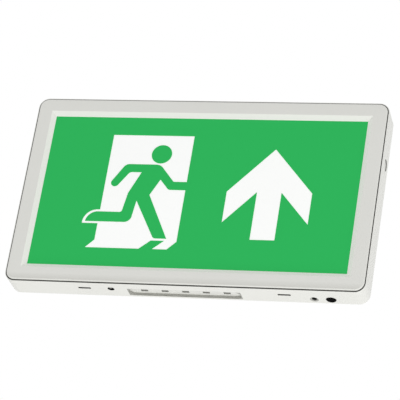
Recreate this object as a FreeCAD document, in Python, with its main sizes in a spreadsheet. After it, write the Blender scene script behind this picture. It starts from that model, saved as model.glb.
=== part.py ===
import FreeCAD, Part
import math
import os
import re
import Sketcher
from FreeCAD import Vector

# Slim wall-mounted emergency exit sign, in millimetres.
# Origin: centre of the rear face that lies on the wall.  +X right, +Y into the wall, +Z up.
# The legend faces -Y.

doc = FreeCAD.newDocument("exit_sign")
sheet = doc.addObject("Spreadsheet::Sheet", "Sizes")

SIZES = [
    ("width", 338, "overall width"),
    ("tall", 194, "overall height"),
    ("depth", 27, "wall to front face"),
    ("corner", 10, "outer corner radius in front view"),
    ("draft", 0.5, "inward taper of the housing walls, front rim to wall"),
    ("rearChamfer", 0.8, "chamfer of the housing's rear edge"),
    ("wall", 2, "housing side wall"),
    ("backWall", 2, "housing back wall"),
    ("root", 0.5, "how far an added feature starts inside its wall"),
    ("cut", 1, "overrun of a cutting tool past a face"),
    ("layGap", 0.02, "gap between two pieces that lie on each other"),
    ("plate", 3, "thickness of the cover's frame"),
    ("edgeRound", 1.4, "rounding of the cover's front edge"),
    ("grooveWide", 1, "shadow gap between cover and housing"),
    ("grooveDeep", 1.2, "depth of the shadow gap"),
    ("skirtGap", 0.35, "cover skirt to housing wall"),
    ("skirt", 1.5, "cover skirt thickness"),
    ("skirtDeep", 3.5, "cover skirt depth"),
    ("frameSide", 19, "cover frame beside the legend window, bevel included"),
    ("frameEnd", 18.75, "cover frame above and below the window, bevel included"),
    ("bevel", 4.5, "width of the window's bevel"),
    ("panelLap", 4, "panel lap behind the frame"),
    ("film", 0.25, "legend film"),
    ("panel", 1.2, "opal panel"),
    ("hookWide", 12, "panel hook width"),
    ("hookWall", 1.4, "panel hook thickness"),
    ("hookLap", 0.85, "panel hook lap"),
    ("hookInset", 40, "panel hooks on the long sides, in from the window's ends"),
    ("hookDrop", 14.25, "panel hooks on the short sides, in from the window's top and bottom"),
    ("fitGap", 0.2, "assembly gap between stacked parts"),
    ("guideLap", 1, "light guide beyond the window"),
    ("guide", 2.5, "light guide"),
    ("guideFront", 21.9, "wall plane to the light guide's front"),
    ("reflector", 0.3, "reflector sheet"),
    ("sheetSteel", 0.7, "tray sheet"),
    ("stripBoard", 1, "LED strip board"),
    ("stripWide", 2.9, "LED strip board width"),
    ("stripInset", 2, "LED strip board short of the window, each end"),
    ("stripLed", 0.8, "height of an LED"),
    ("stripLedLong", 3, "length of an LED"),
    ("stripLedWide", 2, "width of a strip LED"),
    ("ledEnd", 7, "first strip LED in from the window's end"),
    ("stripCount", 20, "LEDs on each strip"),
    ("flangeFront", 21, "wall plane to the tray flange's edge"),
    ("tabDrop", 47, "tray tabs down from the top and up from the bottom"),
    ("tabWide", 10, "tray tab width"),
    ("tabReach", 8.5, "tray tab screw inboard of the housing wall"),
    ("keeperWall", 1.5, "tray keeper thickness"),
    ("keeperLap", 2.5, "tray keeper lap over the tab"),
    ("trayPort", 14, "cable window in the tray"),
    ("bossRadius", 3.5, "screw boss radius"),
    ("pilot", 1.25, "pilot hole radius"),
    ("pilotFloor", 0.8, "plastic left behind a pilot hole"),
    ("screwFit", 0.05, "screw shank short of its pilot hole's radius"),
    ("screwClear", 0.25, "clearance hole beyond the pilot hole's radius"),
    ("screwHead", 2.8, "screw head radius"),
    ("screwHigh", 1.7, "screw head height"),
    ("screwLong", 8, "tray screw shank length"),
    ("screwShort", 1, "board screw tip off the back wall's rear"),
    ("clipOff", 40.5, "cover clips and release slots beside the recess's ends"),
    ("clipWide", 10, "spring clip width"),
    ("clipSheet", 0.4, "spring clip sheet"),
    ("clipReach", 1.1, "clip barb inside the release slot's outer face"),
    ("clipStart", 0.1, "clip foot off the housing rim plane"),
    ("clipPast", 0.4, "clip foot past the skirt"),
    ("clipSpring", 0.3, "spring of the clip's tail off the skirt's plane"),
    ("slotWide", 12, "release slot width"),
    ("slotHigh", 3, "release slot height"),
    ("slotFront", 15.3, "wall plane to the release slots' centre"),
    ("peg", 1.6, "clip peg width"),
    ("pegHead", 2.4, "clip peg head width"),
    ("pegHigh", 0.6, "clip peg head height"),
    ("recessLong", 106, "downlight recess length"),
    ("recessWide", 12.8, "downlight recess width"),
    ("recessDeep", 3.4, "downlight recess depth"),
    ("recessFloor", 1.5, "downlight recess floor"),
    ("recessFront", 9.9, "wall plane to the recess's centre"),
    ("portCount", 5, "downlight ports"),
    ("portPitch", 19.4, "downlight port pitch"),
    ("portWide", 6.6, "downlight port width"),
    ("portLong", 7.4, "downlight port length"),
    ("downBoard", 1, "downlight board"),
    ("downInset", 1, "downlight board inside the recess's outline"),
    ("sensorOff", 15.3, "light sensor left of the recess"),
    ("sensorRadius", 3, "sensor hole radius"),
    ("sensorDeep", 0.45, "sensor collar in from the housing's bottom"),
    ("collarWall", 0.6, "sensor collar wall"),
    ("collarLip", 0.9, "sensor collar lip beyond the hole"),
    ("lipHigh", 0.85, "sensor collar lip thickness"),
    ("controlFront", 8.7, "wall plane to the LED and test button"),
    ("ledInset", 49.3, "charge LED in from the right end"),
    ("ledHole", 2.1, "charge LED hole radius"),
    ("ledSink", 4, "charge LED countersink radius"),
    ("ledSinkDeep", 0.9, "charge LED countersink depth"),
    ("ledRadius", 1.6, "charge LED radius"),
    ("ledTipRadius", 1, "charge LED tip radius"),
    ("ledNose", 0.7, "charge LED nose height"),
    ("ledDeep", 1, "charge LED tip in from the housing's bottom"),
    ("ledBody", 5.3, "charge LED body length"),
    ("ledRing", 0.4, "charge LED foot beyond its body"),
    ("ledFoot", 1, "charge LED foot thickness"),
    ("ledWire", 0.5, "charge LED lead"),
    ("ledPitch", 1.27, "charge LED lead pitch"),
    ("ledRise", 2.5, "charge LED leads' straight run"),
    ("buttonInset", 33.7, "test button in from the right end"),
    ("buttonRadius", 4.5, "test button radius"),
    ("buttonGap", 0.3, "gap round the test button"),
    ("buttonProud", 0.4, "test button proud of the housing"),
    ("buttonChamfer", 0.35, "chamfer of the test button's rim"),
    ("buttonTravel", 1.2, "test button travel"),
    ("buttonFlange", 6, "test button flange radius"),
    ("flangeHigh", 1, "test button flange thickness"),
    ("stemRadius", 2.2, "test button stem radius"),
    ("stemLong", 3, "test button stem to the tact switch"),
    ("knockRadius", 5.5, "side knock-out radius"),
    ("knockDeep", 1.2, "side knock-out depth"),
    ("knockDrop", 57.4, "side knock-out down from the top"),
    ("knockFront", 12, "wall plane to the knock-out's centre"),
    ("fixInset", 19, "wall fixing holes in from the ends"),
    ("fixDrop", 27, "wall fixing holes in from the top and bottom"),
    ("fixRadius", 2.4, "wall fixing hole radius"),
    ("entryDrop", 47, "cable entry down from the top"),
    ("entryRadius", 10, "cable entry radius"),
    ("cableRadius", 4.25, "grommet bore radius"),
    ("grommetLip", 1.6, "grommet lip"),
    ("grommetBack", 0.2, "grommet in from the wall plane"),
    ("cellRadius", 7.1, "battery cell radius"),
    ("cellLong", 50, "battery cell length"),
    ("cellCount", 3, "cells in the battery stick"),
    ("cellNeck", 0.6, "waist between cells"),
    ("batteryEnd", 30.8, "battery in from the left end"),
    ("batteryRise", 35, "battery up from the bottom"),
    ("batteryLift", 0.8, "battery above the back wall"),
    ("saddleFit", 0.05, "battery saddle beyond the cell's radius"),
    ("jawWide", 8, "battery jaw width"),
    ("jawTall", 20, "battery jaw height"),
    ("jawHigh", 11.5, "battery jaw above the back wall"),
    ("jawInset", 28.2, "battery jaws in from the battery's ends"),
    ("boardEnd", 25, "driver board in from the right end"),
    ("boardRise", 32, "driver board up from the bottom"),
    ("boardGap", 9.8, "battery to the driver board"),
    ("boardTall", 54, "driver board height"),
    ("board", 1.6, "circuit board thickness"),
    ("boardLift", 4, "driver board above the back wall"),
    ("boardInset", 4, "board screws in from the board's edges"),
    ("boardRoom", 0.6, "tallest part on the board, short of the tray"),
    ("coilWide", 22, "transformer coil width"),
    ("coilTall", 15, "transformer coil height"),
    ("coreWide", 14, "transformer core width"),
    ("coreTall", 21, "transformer core height"),
    ("coreShort", 0.6, "transformer core lower than its coil"),
    ("canRadius", 4, "capacitor radius"),
    ("canLong", 15, "capacitor length"),
    ("chokeRadius", 4.5, "choke radius"),
    ("chokeHigh", 8, "choke height"),
    ("fuseRadius", 2.6, "fuse radius"),
    ("fuseLong", 20, "fuse length"),
    ("plugHigh", 7, "board socket height"),
    ("plugSmall", 6, "small board socket, across and up"),
    ("plugMiddle", 12, "middle board socket width"),
    ("plugWide", 18, "mains socket width"),
    ("plugTall", 9, "mains socket height"),
    ("chipHigh", 1.8, "chip thickness"),
    ("chipWide", 9, "large chip width"),
    ("chipTall", 5, "chip height, and the small chip's width"),
    ("switchBoardWide", 42, "switch board width"),
    ("switchBoardTall", 18, "switch board height"),
    ("switchBoardGap", 3.5, "switch board to the bottom wall"),
    ("switchLift", 1.2, "switch board above the back wall"),
    ("tactSize", 6, "tact switch width"),
    ("tactHigh", 3.6, "tact switch height"),
    ("plungerRadius", 1.7, "tact plunger radius"),
    ("plungerGap", 0.06, "tact plunger running gap"),
    ("plungerOut", 1.6, "tact plunger proud of the switch"),
    ("plungerRun", 0.3, "tact plunger travel to spare"),
    ("tactFloor", 0.7, "tact switch closed end"),
    ("blockGap", 28.4, "terminal block to the grommet"),
    ("blockWide", 44, "terminal block width"),
    ("blockTall", 16, "terminal block height"),
    ("blockHigh", 12, "terminal block above the back wall"),
    ("wayCount", 4, "terminal ways"),
    ("wayFloor", 4.8, "terminal ways above the back wall"),
    ("wellWide", 5.8, "terminal screw well"),
    ("wayWide", 4.4, "terminal wire way"),
    ("wayGap", 1.2, "slot between the terminal ways"),
    ("wayScrew", 2.6, "terminal screw radius"),
    ("wayScrewHigh", 4, "terminal screw length"),
    ("ribHigh", 2.5, "back wall rib height"),
    ("rib", 1.2, "back wall rib thickness"),
    ("ribInset", 10, "back wall ribs in from the window's outline"),
    ("ribStop", 20, "back wall ribs short of the fixings and the window's ends"),
]

names = set()
for row, (name, value, note) in enumerate(SIZES, 1):
    sheet.set(f"A{row}", note)
    sheet.set(f"B{row}", str(value))
    sheet.setAlias(f"B{row}", name)
    names.add(name)
doc.recompute()

nodes = {}
QUARTER = math.pi / 2


def linked(text):
    """An expression on the sheet's names, as FreeCAD reads it."""
    return re.sub(r"[A-Za-z]+", lambda word: "Sizes." + word[0] if word[0] in names else word[0], text)


def size(text):
    """The present value of such an expression."""
    result = sheet.evalExpression(linked(str(text)))
    return float(getattr(result, "Value", result))


def bind(thing, **expressions):
    for name, text in expressions.items():
        thing.setExpression(name.replace("_", "."), linked(str(text)))


def node(label, thing):
    thing.Label = label
    nodes[label] = thing
    return thing


class Profile:
    """A sketch in one of a body's own planes, its sizes bound to the sheet."""

    def __init__(self, body, plane, offset="0"):
        self.sketch = body.newObject("Sketcher::SketchObject", "Sketch")
        base = [one for one in body.Origin.OriginFeatures if one.Role == plane][0]
        self.sketch.AttachmentSupport = (base, [""])
        self.sketch.MapMode = "FlatFace"
        self.sketch.setExpression("AttachmentOffset.Base.z", linked(offset))

    def hold(self, kind, *where, text):
        index = self.sketch.addConstraint(Sketcher.Constraint(kind, *where, size(text)))
        self.sketch.setExpression(f"Constraints[{index}]", linked(text))

    def place(self, geometry, point, across, up):
        self.hold("DistanceX", -1, 1, geometry, point, text=across)
        self.hold("DistanceY", -1, 1, geometry, point, text=up)

    def polygon(self, points):
        corners = [Vector(size(across), size(up), 0) for across, up in points]
        first = self.sketch.GeometryCount
        count = len(points)
        for here in range(count):
            there = (here + 1) % count
            self.sketch.addGeometry(Part.LineSegment(corners[here], corners[there]))
        for here in range(count):
            there = (here + 1) % count
            self.sketch.addConstraint(Sketcher.Constraint("Coincident", first + here, 2, first + there, 1))
        for here, (across, up) in enumerate(points):
            self.place(first + here, 1, across, up)
        return self

    def rectangle(self, across, up, wide, high):
        left = f"({across}) - ({wide})/2"
        right = f"({across}) + ({wide})/2"
        low = f"({up}) - ({high})/2"
        top = f"({up}) + ({high})/2"
        return self.polygon([(left, low), (right, low), (right, top), (left, top)])

    def circle(self, across, up, radius):
        shape = Part.Circle(Vector(size(across), size(up), 0), Vector(0, 0, 1), size(radius))
        index = self.sketch.addGeometry(shape)
        self.place(index, 3, across, up)
        self.hold("Radius", index, text=radius)
        return self

    def rounded(self, wide, high, radius):
        """A rectangle about the origin, with rounded corners."""
        halfWide = size(wide) / 2
        halfHigh = size(high) / 2
        bend = size(radius)
        first = self.sketch.GeometryCount
        turns = [(1, -1, 3), (1, 1, 0), (-1, 1, 1), (-1, -1, 2)]
        for side, up, start in turns:
            centre = Vector(side * (halfWide - bend), up * (halfHigh - bend), 0)
            round = Part.Circle(centre, Vector(0, 0, 1), bend)
            self.sketch.addGeometry(Part.ArcOfCircle(round, start * QUARTER, (start + 1) * QUARTER))
        for corner in range(4):
            begin = self.sketch.Geometry[first + corner].EndPoint
            end = self.sketch.Geometry[first + (corner + 1) % 4].StartPoint
            self.sketch.addGeometry(Part.LineSegment(begin, end))
        for corner in range(4):
            line = first + 4 + corner
            follow = first + (corner + 1) % 4
            self.sketch.addConstraint(Sketcher.Constraint("Tangent", first + corner, 2, line, 1))
            self.sketch.addConstraint(Sketcher.Constraint("Tangent", line, 2, follow, 1))
            upright = "Vertical" if corner % 2 == 0 else "Horizontal"
            self.sketch.addConstraint(Sketcher.Constraint(upright, line))
        for corner in range(3):
            self.sketch.addConstraint(Sketcher.Constraint("Equal", first + corner, first + corner + 1))
        self.hold("Radius", first, text=radius)
        self.place(first, 3, f"({wide})/2 - ({radius})", f"({radius}) - ({high})/2")
        self.place(first + 2, 3, f"({radius}) - ({wide})/2", f"({high})/2 - ({radius})")
        return self

    def obround(self, across, up, long, wide):
        """A slot with round ends, along the sketch's first axis."""
        reach = f"(({long}) - ({wide}))/2"
        radius = size(wide) / 2
        left = Vector(size(across) - size(reach), size(up), 0)
        right = Vector(size(across) + size(reach), size(up), 0)
        lift = Vector(0, radius, 0)
        first = self.sketch.GeometryCount
        axis = Vector(0, 0, 1)
        self.sketch.addGeometry(Part.ArcOfCircle(Part.Circle(left, axis, radius), QUARTER, 3 * QUARTER))
        self.sketch.addGeometry(Part.LineSegment(left - lift, right - lift))
        self.sketch.addGeometry(Part.ArcOfCircle(Part.Circle(right, axis, radius), -QUARTER, QUARTER))
        self.sketch.addGeometry(Part.LineSegment(right + lift, left + lift))
        for step in range(4):
            follow = first + (step + 1) % 4
            self.sketch.addConstraint(Sketcher.Constraint("Tangent", first + step, 2, follow, 1))
        self.hold("Radius", first, text=f"({wide})/2")
        self.place(first, 3, f"({across}) - {reach}", up)
        self.hold("DistanceX", -1, 1, first + 2, 3, text=f"({across}) + {reach}")
        return self


def newBody(label):
    return node(label, doc.addObject("PartDesign::Body", label))


def pad(body, profile, length, reverse=False):
    feature = body.newObject("PartDesign::Pad", "Pad")
    feature.Profile = profile.sketch
    feature.Reversed = reverse
    bind(feature, Length=length)
    body.Tip = feature
    return feature


def pocket(body, profile, length, reverse=False):
    """Cuts against the sketch's normal, or along it when reversed."""
    feature = body.newObject("PartDesign::Pocket", "Pocket")
    feature.Profile = profile.sketch
    feature.Reversed = reverse
    bind(feature, Length=length)
    body.Tip = feature
    return feature


def loft(body, kind, near, far):
    feature = body.newObject(f"PartDesign::{kind}Loft", "Loft")
    feature.Profile = near.sketch
    feature.Sections = [far.sketch]
    body.Tip = feature
    return feature


def mirrored(body, feature, plane):
    doc.recompute()
    copy = body.newObject("PartDesign::Mirrored", "Mirrored")
    copy.Originals = [feature]
    copy.MirrorPlane = ([one for one in body.Origin.OriginFeatures if one.Role == plane][0], [""])
    body.Tip = copy
    return copy


def dressEdges(body, kind, amount, wanted):
    """Fillets or chamfers those edges of the body's last shape that pass the test."""
    doc.recompute()
    base = body.Tip
    picked = [f"Edge{index}" for index, edge in enumerate(base.Shape.Edges, 1) if wanted(edge)]
    feature = body.newObject("PartDesign::" + kind, kind)
    feature.Base = (base, picked)
    bind(feature, **{"Radius" if kind == "Fillet" else "Size": amount})
    body.Tip = feature


def allAt(edge, axis, place):
    """True when the whole edge lies in the plane axis = place."""
    box = edge.BoundBox
    low = (box.XMin, box.YMin, box.ZMin)[axis]
    high = (box.XMax, box.YMax, box.ZMax)[axis]
    return abs(low - place) < 0.01 and abs(high - place) < 0.01


def block(name, x, y, z, wide, deep, high):
    """A box from its centre and its sizes along X, Y and Z."""
    thing = doc.addObject("Part::Box", name)
    bind(thing, Length=wide, Width=deep, Height=high)
    bind(thing, Placement_Base_x=f"({x}) - ({wide})/2")
    bind(thing, Placement_Base_y=f"({y}) - ({deep})/2")
    bind(thing, Placement_Base_z=f"({z}) - ({high})/2")
    return thing


AXES = {
    "X": FreeCAD.Rotation(Vector(0, 0, 1), Vector(1, 0, 0)),
    "Y": FreeCAD.Rotation(Vector(0, 0, 1), Vector(0, 1, 0)),
    "Z": FreeCAD.Rotation(),
    "-Y": FreeCAD.Rotation(Vector(0, 0, 1), Vector(0, -1, 0)),
}


def rod(name, x, y, z, radius, length, axis):
    """A cylinder from the centre of its first end."""
    thing = doc.addObject("Part::Cylinder", name)
    thing.Placement = FreeCAD.Placement(Vector(), AXES[axis])
    bind(thing, Radius=radius, Height=length)
    bind(thing, Placement_Base_x=x, Placement_Base_y=y, Placement_Base_z=z)
    return thing


def fused(name, parts):
    thing = doc.addObject("Part::MultiFuse", name)
    thing.Shapes = parts
    thing.Refine = True
    return thing


def group(name, parts):
    thing = doc.addObject("Part::Compound", name)
    thing.Links = parts
    return thing


def without(name, base, tool):
    thing = doc.addObject("Part::Cut", name)
    thing.Base = base
    thing.Tool = tool
    return thing


def panScrews(label, places, seat, long):
    """Pan-head screws driven along +Y; seat is how far their heads' undersides are from the wall."""
    screws = []
    for x, z in places:
        head = rod(label + "_head", x, f"-{seat} - screwHigh", z, "screwHead", "screwHigh", "Y")
        shank = rod(label + "_shank", x, f"-{seat}", z, "pilot - screwFit", long, "Y")
        screws.append(fused(label + "_screw", [head, shank]))
    node(label, group(label, screws))


# ---- derived places, as expressions ------------------------------------------------------------
rim = "(depth - plate - grooveWide)"            # wall plane to the housing's front rim
bottom = "(-tall/2)"
windowWide = "(width - 2*frameSide)"
windowTall = "(tall - 2*frameEnd)"
trayRear = "(guideFront - guide - reflector - sheetSteel)"
trayFront = f"({trayRear} + sheetSteel)"
stripFront = "(guideFront - guide/2)"           # wall plane to the middle of the light guide's edge
panelWide = f"({windowWide} + 2*panelLap)"
panelTall = f"({windowTall} + 2*panelLap)"
guideWide = f"({windowWide} + 2*guideLap)"
guideTall = f"({windowTall} + 2*guideLap)"
stripZ = f"({windowTall}/2 + guideLap + fitGap + stripLed)"
tabX = "(width/2 - wall - tabReach)"
tabZ = "(tall/2 - tabDrop)"
clipX = "(recessLong/2 + clipOff)"
clipBase = "(tall/2 - wall - skirtGap - skirt)"  # the clip's foot lies on the skirt's inner face
pegFront = f"({rim} - skirtDeep/2)"
floorTop = "(recessDeep + recessFloor - tall/2)"
sensorX = "(-recessLong/2 - sensorOff)"
ledX = "(width/2 - ledInset)"
buttonX = "(width/2 - buttonInset)"
knockZ = "(tall/2 - knockDrop)"
fixX = "(width/2 - fixInset)"
fixZ = "(tall/2 - fixDrop)"
entryZ = "(tall/2 - entryDrop)"
blockX = "(entryRadius + grommetLip + blockGap + blockWide/2)"
batteryLong = "(cellLong*cellCount + cellNeck*2*(cellCount - 1))"
batteryX = f"(batteryEnd + {batteryLong}/2 - width/2)"
batteryY = "(-backWall - batteryLift - cellRadius)"
batteryZ = "(batteryRise - tall/2)"
jawX = f"({batteryLong}/2 - jawInset)"
boardWide = f"(width - batteryEnd - {batteryLong} - boardGap - boardEnd)"
boardX = f"(width/2 - boardEnd - {boardWide}/2)"
boardZ = "(boardRise + boardTall/2 - tall/2)"
boardFace = "(backWall + boardLift + board)"
switchFace = "(backWall + switchLift + board)"
switchX = f"(({ledX} + {buttonX})/2)"
switchZ = "(wall + switchBoardGap + switchBoardTall/2 - tall/2)"

ENDS = (-1, 1)
CORNERS = [(side, up) for side in ENDS for up in ENDS]


def boardCorner(side, up):
    across = f"{boardX} + ({side})*({boardWide}/2 - boardInset)"
    return across, f"{boardZ} + ({up})*(boardTall/2 - boardInset)"


boardScrewPlaces = [boardCorner(-1, 1), boardCorner(1, -1)]
boardRestPlaces = [boardCorner(-1, -1), boardCorner(1, 1)]
switchScrewPlaces = [(switchX, f"{switchZ} + switchBoardTall/2 - boardInset")]
switchRestPlaces = [(f"{switchX} + ({side})*(switchBoardWide/2 - boardInset)", switchZ) for side in ENDS]
trayScrewPlaces = [(tabX, f"({up})*{tabZ}") for up in ENDS]
trayRestPlaces = [(f"-{tabX}", f"({up})*{tabZ}") for up in ENDS]


# ---- rear housing: one moulding ----------------------------------------------------------------
def housingShell(body):
    """The tapered tray, open at the front."""
    back = Profile(body, "XZ_Plane").rounded("width - 2*draft", "tall - 2*draft", "corner - draft")
    front = Profile(body, "XZ_Plane", rim).rounded("width", "tall", "corner")
    loft(body, "Additive", back, front)
    dressEdges(body, "Chamfer", "rearChamfer", lambda edge: allAt(edge, 1, 0))
    innerBack = Profile(body, "XZ_Plane", "backWall")
    innerBack.rounded("width - 2*draft - 2*wall", "tall - 2*draft - 2*wall", "corner - draft - wall")
    innerFront = Profile(body, "XZ_Plane", rim).rounded("width - 2*wall", "tall - 2*wall", "corner - wall")
    loft(body, "Subtractive", innerBack, innerFront)


def housingPosts(body):
    """Round screw bosses and square rests for the tray and the two boards."""
    for screws, rests, high in ((trayScrewPlaces, trayRestPlaces, f"{trayRear} - backWall"),
                                (boardScrewPlaces, boardRestPlaces, "boardLift"),
                                (switchScrewPlaces, switchRestPlaces, "switchLift")):
        posts = Profile(body, "XZ_Plane", "backWall - root")
        for x, z in screws:
            posts.circle(x, z, "bossRadius")
        for x, z in rests:
            posts.rectangle(x, z, "2*bossRadius", "2*bossRadius")
        pad(body, posts, f"{high} + root")


def trayKeepers(body):
    """Two keepers that hold the tray's left tabs down on their rests."""
    posts = Profile(body, "XZ_Plane", f"{trayRear} - root")
    laps = Profile(body, "XZ_Plane", f"{trayFront} + layGap")
    for x, z in trayRestPlaces:
        posts.rectangle(f"{x} - bossRadius + keeperWall/2", z, "keeperWall", "2*bossRadius")
        laps.rectangle(f"{x} - bossRadius + (keeperWall + keeperLap)/2", z, "keeperWall + keeperLap",
                       "2*bossRadius")
    pad(body, posts, "sheetSteel + root + layGap")
    pad(body, laps, "keeperWall")


def backWallRibs(body):
    ribs = Profile(body, "XZ_Plane", "backWall - root")
    for side in ENDS:
        ribs.rectangle(f"({side})*({windowWide}/2 - ribInset)", "0", "rib", f"2*({fixZ} - ribStop)")
    ribs.rectangle(f"-{windowWide}/4", "0", f"{windowWide}/2 - 2*ribStop", "rib")
    ribs.rectangle("0", f"{windowTall}/2 + ribInset", f"{windowWide} - 2*ribStop", "rib")
    pad(body, ribs, "ribHigh + root")


def batteryJaws(body):
    """Two saddles that the battery stick snaps into."""
    jaws = Profile(body, "XZ_Plane", "backWall - root")
    for side in ENDS:
        jaws.rectangle(f"{batteryX} + ({side})*{jawX}", batteryZ, "jawWide", "jawTall")
    pad(body, jaws, "jawHigh + root")
    saddles = Profile(body, "YZ_Plane", f"{batteryX} - {jawX} - jawWide")
    saddles.circle(batteryY, batteryZ, "cellRadius + saddleFit")
    pocket(body, saddles, f"2*({jawX} + jawWide)", reverse=True)


def downlightRecess(body):
    """The recess in the bottom, with its ports for the lamps and the pegs that hold their board."""
    bump = Profile(body, "XY_Plane", f"{bottom} + wall/2")
    bump.obround("0", "-recessFront", "recessLong + 2*recessFloor", "recessWide + 2*recessFloor")
    pad(body, bump, "recessDeep + recessFloor - wall/2")
    recess = Profile(body, "XY_Plane", f"{bottom} - cut")
    recess.obround("0", "-recessFront", "recessLong", "recessWide")
    pocket(body, recess, "recessDeep + cut", reverse=True)
    ports = Profile(body, "XY_Plane", f"{bottom} + recessDeep - cut")
    for index in range(int(size("portCount"))):
        ports.rectangle(f"({index} - (portCount - 1)/2)*portPitch", "-recessFront", "portWide", "portLong")
    pocket(body, ports, "recessFloor + 2*cut", reverse=True)
    pegs = Profile(body, "XY_Plane", f"{floorTop} - root")
    heads = Profile(body, "XY_Plane", f"{floorTop} + downBoard")
    for side in ENDS:
        pegs.rectangle(f"({side})*portPitch*1.5", "-recessFront", "peg", "peg")
        heads.rectangle(f"({side})*portPitch*1.5", "-recessFront", "pegHead", "pegHead")
    pad(body, pegs, "root + downBoard + layGap")
    pad(body, heads, "pegHigh")


def bottomOpenings(body):
    """Release slots at top and bottom, and the sensor, lamp and button holes in the bottom."""
    slots = Profile(body, "XY_Plane", f"{bottom} - cut")
    for side in ENDS:
        slots.rectangle(f"({side})*{clipX}", "-slotFront", "slotWide", "slotHigh")
    mirrored(body, pocket(body, slots, "wall + draft + 2*cut", reverse=True), "XY_Plane")
    holes = Profile(body, "XY_Plane", f"{bottom} - cut")
    holes.circle(sensorX, "-slotFront", "sensorRadius")
    holes.circle(ledX, "-controlFront", "ledHole")
    holes.circle(buttonX, "-controlFront", "buttonRadius + buttonGap")
    pocket(body, holes, "wall + draft + 2*cut", reverse=True)
    seats = Profile(body, "XY_Plane", f"{bottom} + wall")
    seats.circle(sensorX, "-slotFront", "sensorRadius + collarLip + buttonGap")
    seats.circle(buttonX, "-controlFront", "buttonFlange + buttonGap")
    pocket(body, seats, "draft + cut", reverse=True)
    low = Profile(body, "XY_Plane", bottom).circle(ledX, "-controlFront", "ledSink")
    high = Profile(body, "XY_Plane", f"{bottom} + draft + ledSinkDeep")
    high.circle(ledX, "-controlFront", "ledHole")
    loft(body, "Subtractive", low, high)


def wallOpenings(body):
    """Side knock-outs, the back wall's fixing holes and cable entry, and the bosses' pilot holes."""
    knock = Profile(body, "YZ_Plane", "width/2 + cut").circle("-knockFront", knockZ, "knockRadius")
    mirrored(body, pocket(body, knock, "knockDeep + cut"), "YZ_Plane")
    holes = Profile(body, "XZ_Plane", "-cut")
    for side, up in CORNERS:
        holes.circle(f"({side})*{fixX}", f"({up})*{fixZ}", "fixRadius")
    holes.circle("0", entryZ, "entryRadius")
    pocket(body, holes, "backWall + 2*cut", reverse=True)
    pilots = Profile(body, "XZ_Plane", "pilotFloor")
    for x, z in trayScrewPlaces + boardScrewPlaces + switchScrewPlaces:
        pilots.circle(x, z, "pilot")
    pocket(body, pilots, trayRear, reverse=True)


def rearHousing():
    body = newBody("rear_housing")
    housingShell(body)
    housingPosts(body)
    trayKeepers(body)
    backWallRibs(body)
    batteryJaws(body)
    downlightRecess(body)
    bottomOpenings(body)
    wallOpenings(body)


# ---- front cover: one moulding -----------------------------------------------------------------
def coverFrame(body):
    """The frame with its shadow groove, its skirt and the bevelled window."""
    frame = Profile(body, "XZ_Plane", "depth - plate").rounded("width", "tall", "corner")
    pad(body, frame, "plate")
    dressEdges(body, "Fillet", "edgeRound", lambda edge: allAt(edge, 1, -size("depth")))
    shoulder = Profile(body, "XZ_Plane", rim)
    shoulder.rounded("width - 2*grooveDeep", "tall - 2*grooveDeep", "corner - grooveDeep")
    pad(body, shoulder, "grooveWide + cut")
    inset = "(wall + skirtGap)"
    outside = Profile(body, "XZ_Plane", f"{rim} - skirtDeep")
    outside.rounded(f"width - 2*{inset}", f"tall - 2*{inset}", f"corner - {inset}")
    pad(body, outside, "skirtDeep + cut")
    inner = f"({inset} + skirt)"
    inside = Profile(body, "XZ_Plane", f"{rim} - skirtDeep - cut")
    inside.rounded(f"width - 2*{inner}", f"tall - 2*{inner}", f"corner - {inner}")
    pocket(body, inside, "skirtDeep + cut + grooveWide", reverse=True)
    opening = Profile(body, "XZ_Plane", "depth - plate - cut").rectangle("0", "0", windowWide, windowTall)
    pocket(body, opening, "plate + 2*cut", reverse=True)
    small = Profile(body, "XZ_Plane", "depth - plate").rectangle("0", "0", windowWide, windowTall)
    large = Profile(body, "XZ_Plane", "depth")
    large.rectangle("0", "0", f"{windowWide} + 2*bevel", f"{windowTall} + 2*bevel")
    loft(body, "Subtractive", small, large)


def panelHooks(body):
    """Eight snap hooks round the window that hold the legend and the panel."""
    top = "(plate + film + panel + fitGap + hookLap)"
    stems = Profile(body, "XZ_Plane", f"depth - {top}")
    tips = Profile(body, "XZ_Plane", f"depth - {top}")
    for side, up in CORNERS:
        for profile, off, thick in ((stems, "(fitGap + hookWall/2)", "hookWall"),
                                    (tips, "(hookWall + fitGap - hookLap)/2", "hookWall + fitGap + hookLap")):
            profile.rectangle(f"({side})*({windowWide}/2 - hookInset)", f"({up})*({panelTall}/2 + {off})",
                              "hookWide", thick)
            profile.rectangle(f"({side})*({panelWide}/2 + {off})", f"({up})*({windowTall}/2 - hookDrop)",
                              thick, "hookWide")
    pad(body, stems, f"{top} - plate + root")
    pad(body, tips, "hookLap")


def clipPegs(body):
    """Square pegs through the spring clips, spread at their ends."""
    heads = Profile(body, "XY_Plane", f"{clipBase} - clipSheet - pegHigh")
    pegs = Profile(body, "XY_Plane", f"{clipBase} - clipSheet - layGap")
    for side in ENDS:
        heads.rectangle(f"({side})*{clipX}", f"-{pegFront}", "pegHead", "pegHead")
        pegs.rectangle(f"({side})*{clipX}", f"-{pegFront}", "peg", "peg")
    mirrored(body, pad(body, heads, "pegHigh"), "XY_Plane")
    mirrored(body, pad(body, pegs, "clipSheet + layGap + root"), "XY_Plane")


def frontCover():
    body = newBody("front_cover")
    coverFrame(body)
    panelHooks(body)
    clipPegs(body)


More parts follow.
